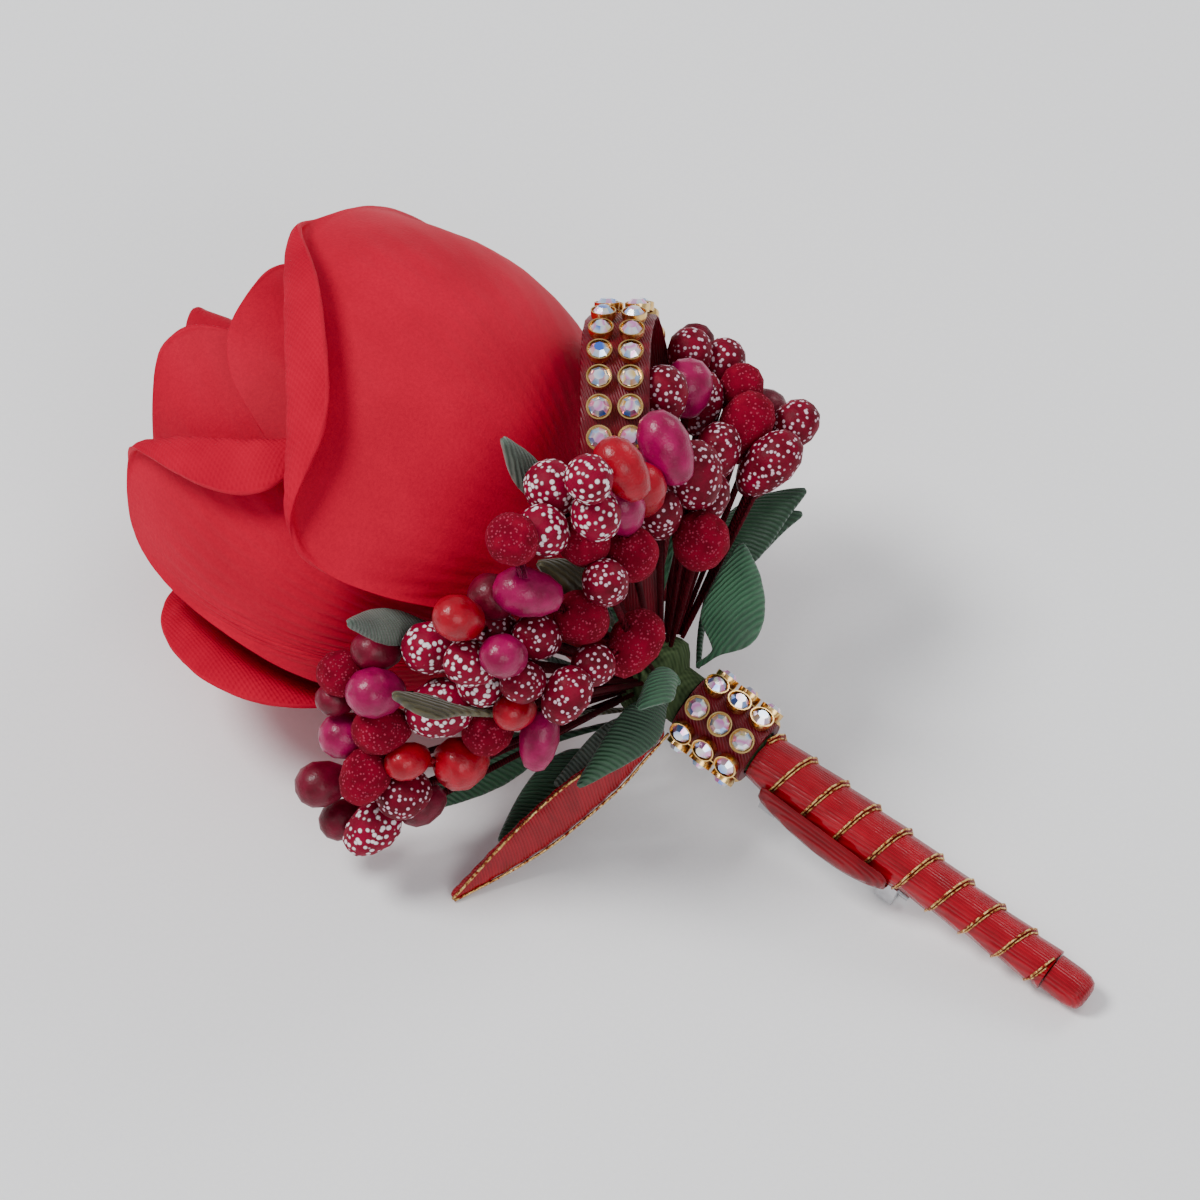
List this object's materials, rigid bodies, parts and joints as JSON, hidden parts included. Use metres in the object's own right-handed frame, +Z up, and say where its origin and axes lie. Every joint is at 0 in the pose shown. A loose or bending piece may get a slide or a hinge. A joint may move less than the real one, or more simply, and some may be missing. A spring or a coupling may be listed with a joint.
{
  "type": "flower lapel pin",
  "caption": "Boutonniere-style lapel pin: a fabric rose with stamen sprays, leaves, a stone-set ribbon loop and collar, and a ribbon-wrapped stem with a bar pin behind it.",
  "frame": {"origin": "on the floor, under the middle of the bounding box of the part as it lies", "axes": "+X horizontal towards the stem's end, the rose at -X; +Y horizontal across the stem; +Z up from the floor the part lies on"},
  "size_m": [0.1248, 0.0664, 0.0586],
  "materials": {
    "petal": "velvet",
    "dark_petal": "velvet",
    "stamen": "sugared",
    "leaf": "ribbed satin",
    "grey_leaf": "ribbed satin",
    "olive_leaf": "ribbed satin",
    "floral_tape": "matte",
    "trim_ribbon": "satin",
    "satin_ribbon": "satin",
    "gilt": "polished",
    "stone": "faceted",
    "pin_steel": "satin"
  },
  "bodies": {
    "root": {"rose_core": "dark_petal", "petal_front": "petal", "petal_left": "petal", "petal_far_left": "petal", "petal_back_right": "petal", "petal_back": "petal", "petal_inner_right": "petal", "petal_inner_left": "petal", "petal_inner_back": "petal", "petal_inner_low": "petal", "bud_petal_outer": "petal", "bud_petal_middle": "petal", "bud_petal_centre": "petal", "stamens_upper": "stamen", "stamens_right": "stamen", "stamens_middle": "stamen", "stamens_front": "stamen", "stamens_left": "stamen", "stamens_far_left": "stamen", "leaf_rose_tip": "grey_leaf", "leaf_left_tip": "grey_leaf", "leaf_left_curl": "olive_leaf", "leaf_dark_small": "olive_leaf", "leaf_upper_small": "leaf", "leaf_right_long": "leaf", "leaf_right_low": "leaf", "leaf_right_large": "leaf", "leaf_middle_dark": "leaf", "leaf_lower_long": "leaf", "leaf_lower_short": "leaf", "leaf_lower_pale": "grey_leaf", "leaf_bottom": "leaf", "leaf_bottom_left": "leaf", "neck_wrap": "floral_tape", "collar_band": "trim_ribbon", "collar_settings": "gilt", "collar_stones": "stone", "loop_band": "trim_ribbon", "loop_settings": "gilt", "loop_stones": "stone", "stem_core": "floral_tape", "stem_wrap": "satin_ribbon", "stem_fold": "satin_ribbon", "stem_tip": "satin_ribbon", "ribbon_tail": "satin_ribbon", "lapel_pin": "pin_steel"}
  },
  "joints": []
}
